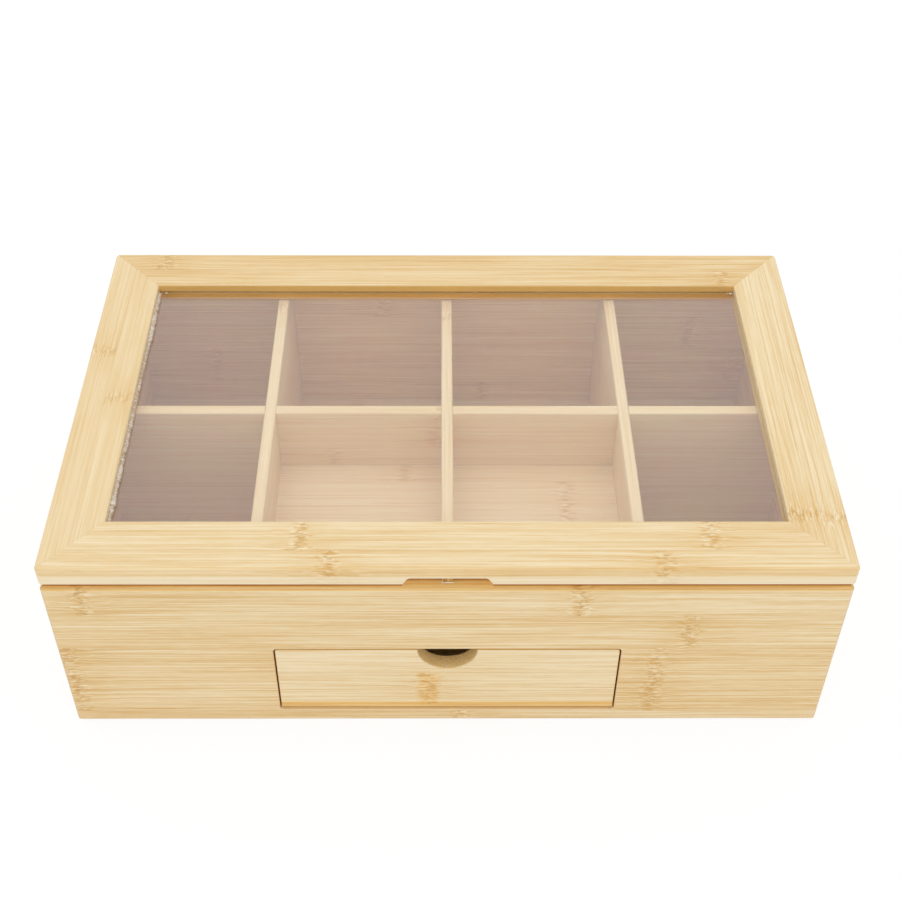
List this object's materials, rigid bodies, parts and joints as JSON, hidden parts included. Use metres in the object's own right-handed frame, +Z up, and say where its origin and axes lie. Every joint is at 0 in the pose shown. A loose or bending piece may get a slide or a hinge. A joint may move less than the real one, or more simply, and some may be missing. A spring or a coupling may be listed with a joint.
{
  "type": "tea bag drawer box",
  "caption": "Bamboo tabletop chest with a hinged, glazed lid over divided compartments and a small pull-out drawer at the front.",
  "frame": {"origin": "middle of the box's footprint on the surface it stands on", "axes": "+X along the box to its right end, +Z up, and the drawer pulls out towards -Y"},
  "size_m": [0.34, 0.214, 0.106],
  "materials": {
    "bamboo": "pale laminated bamboo, sanded and sealed with a thin satin lacquer",
    "clear_acrylic": "clear polished acrylic sheet",
    "hinge_brass": "lacquered brass",
    "magnet_nickel": "bright nickel plate",
    "striker_steel": "plain turned steel",
    "sealant": "milky clear sealant"
  },
  "bodies": {
    "root": {"front_panel": "bamboo", "back_panel": "bamboo", "left_panel": "bamboo", "right_panel": "bamboo", "bottom_panel": "bamboo", "divider_left": "bamboo", "divider_centre": "bamboo", "divider_right": "bamboo", "divider_cross": "bamboo", "drawer_deck": "bamboo", "drawer_guide_left": "bamboo", "drawer_guide_right": "bamboo", "lid_striker": "striker_steel", "hinge_left_base_leaf": "hinge_brass", "hinge_right_base_leaf": "hinge_brass", "hinge_left_pin": "hinge_brass", "hinge_right_pin": "hinge_brass", "hinge_screws_base": "hinge_brass"},
    "drawer": {"drawer_front": "bamboo", "drawer_side_left": "bamboo", "drawer_side_right": "bamboo", "drawer_back": "bamboo", "drawer_bottom": "bamboo"},
    "lid": {"lid_rail_front": "bamboo", "lid_rail_back": "bamboo", "lid_rail_left": "bamboo", "lid_rail_right": "bamboo", "lid_window": "clear_acrylic", "window_sealant": "sealant", "lid_magnet": "magnet_nickel", "hinge_left_lid_leaf": "hinge_brass", "hinge_right_lid_leaf": "hinge_brass", "hinge_screws_lid": "hinge_brass"}
  },
  "joints": [
    {"name": "lid_hinge", "type": "hinge", "parent": "root", "child": "lid", "pos_m": [0, 0.1045, 0.09585], "axis": [-1, 0, 0], "range_deg": [0, 98]},
    {"name": "drawer_slide", "type": "slide", "parent": "root", "child": "drawer", "axis": [0, -1, 0], "range_m": [0, 0.075]}
  ]
}
